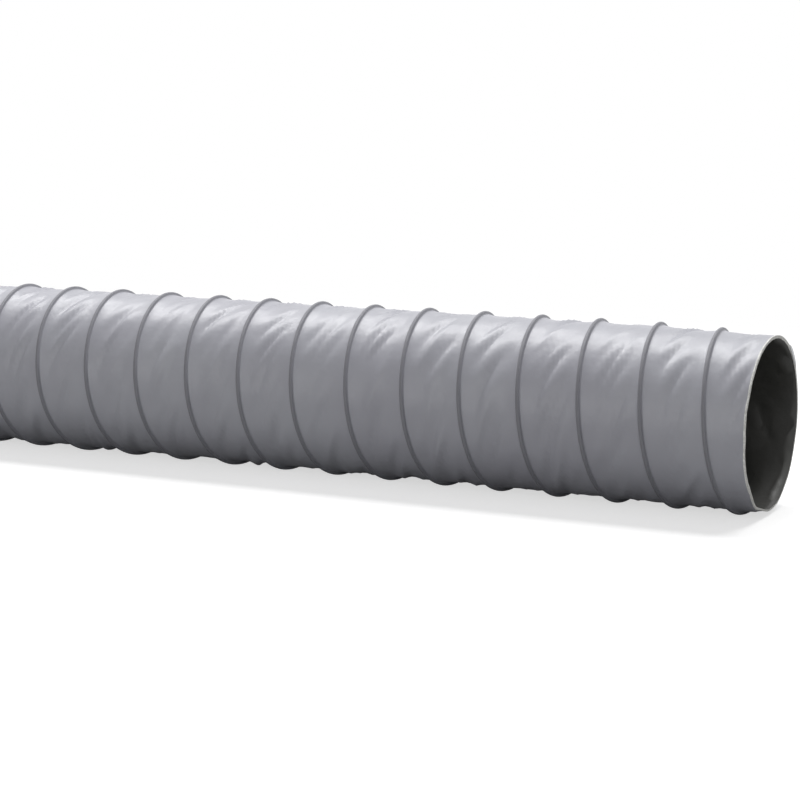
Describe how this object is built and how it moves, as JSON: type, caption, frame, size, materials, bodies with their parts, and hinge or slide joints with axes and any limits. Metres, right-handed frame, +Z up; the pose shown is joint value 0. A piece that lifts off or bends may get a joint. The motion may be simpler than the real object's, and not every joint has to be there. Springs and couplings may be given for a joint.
{
  "type": "spiral exhaust hose",
  "caption": "Straight length of coated-fabric exhaust hose with a steel wire helix in its wall, open and cut square at both ends, for ducting fumes and warm air.",
  "frame": {"origin": "on the ground under the middle of the lying hose", "axes": "+X along the hose towards the end that faces the viewer in the picture, +Z up"},
  "size_m": [1, 0.107, 0.107],
  "materials": {
    "coated_fabric": "satin grey coating outside, charcoal coating inside",
    "spring_steel": "drawn wire"
  },
  "bodies": {
    "root": {"fabric_wall": "coated_fabric", "wire_helix": "spring_steel"}
  },
  "joints": []
}
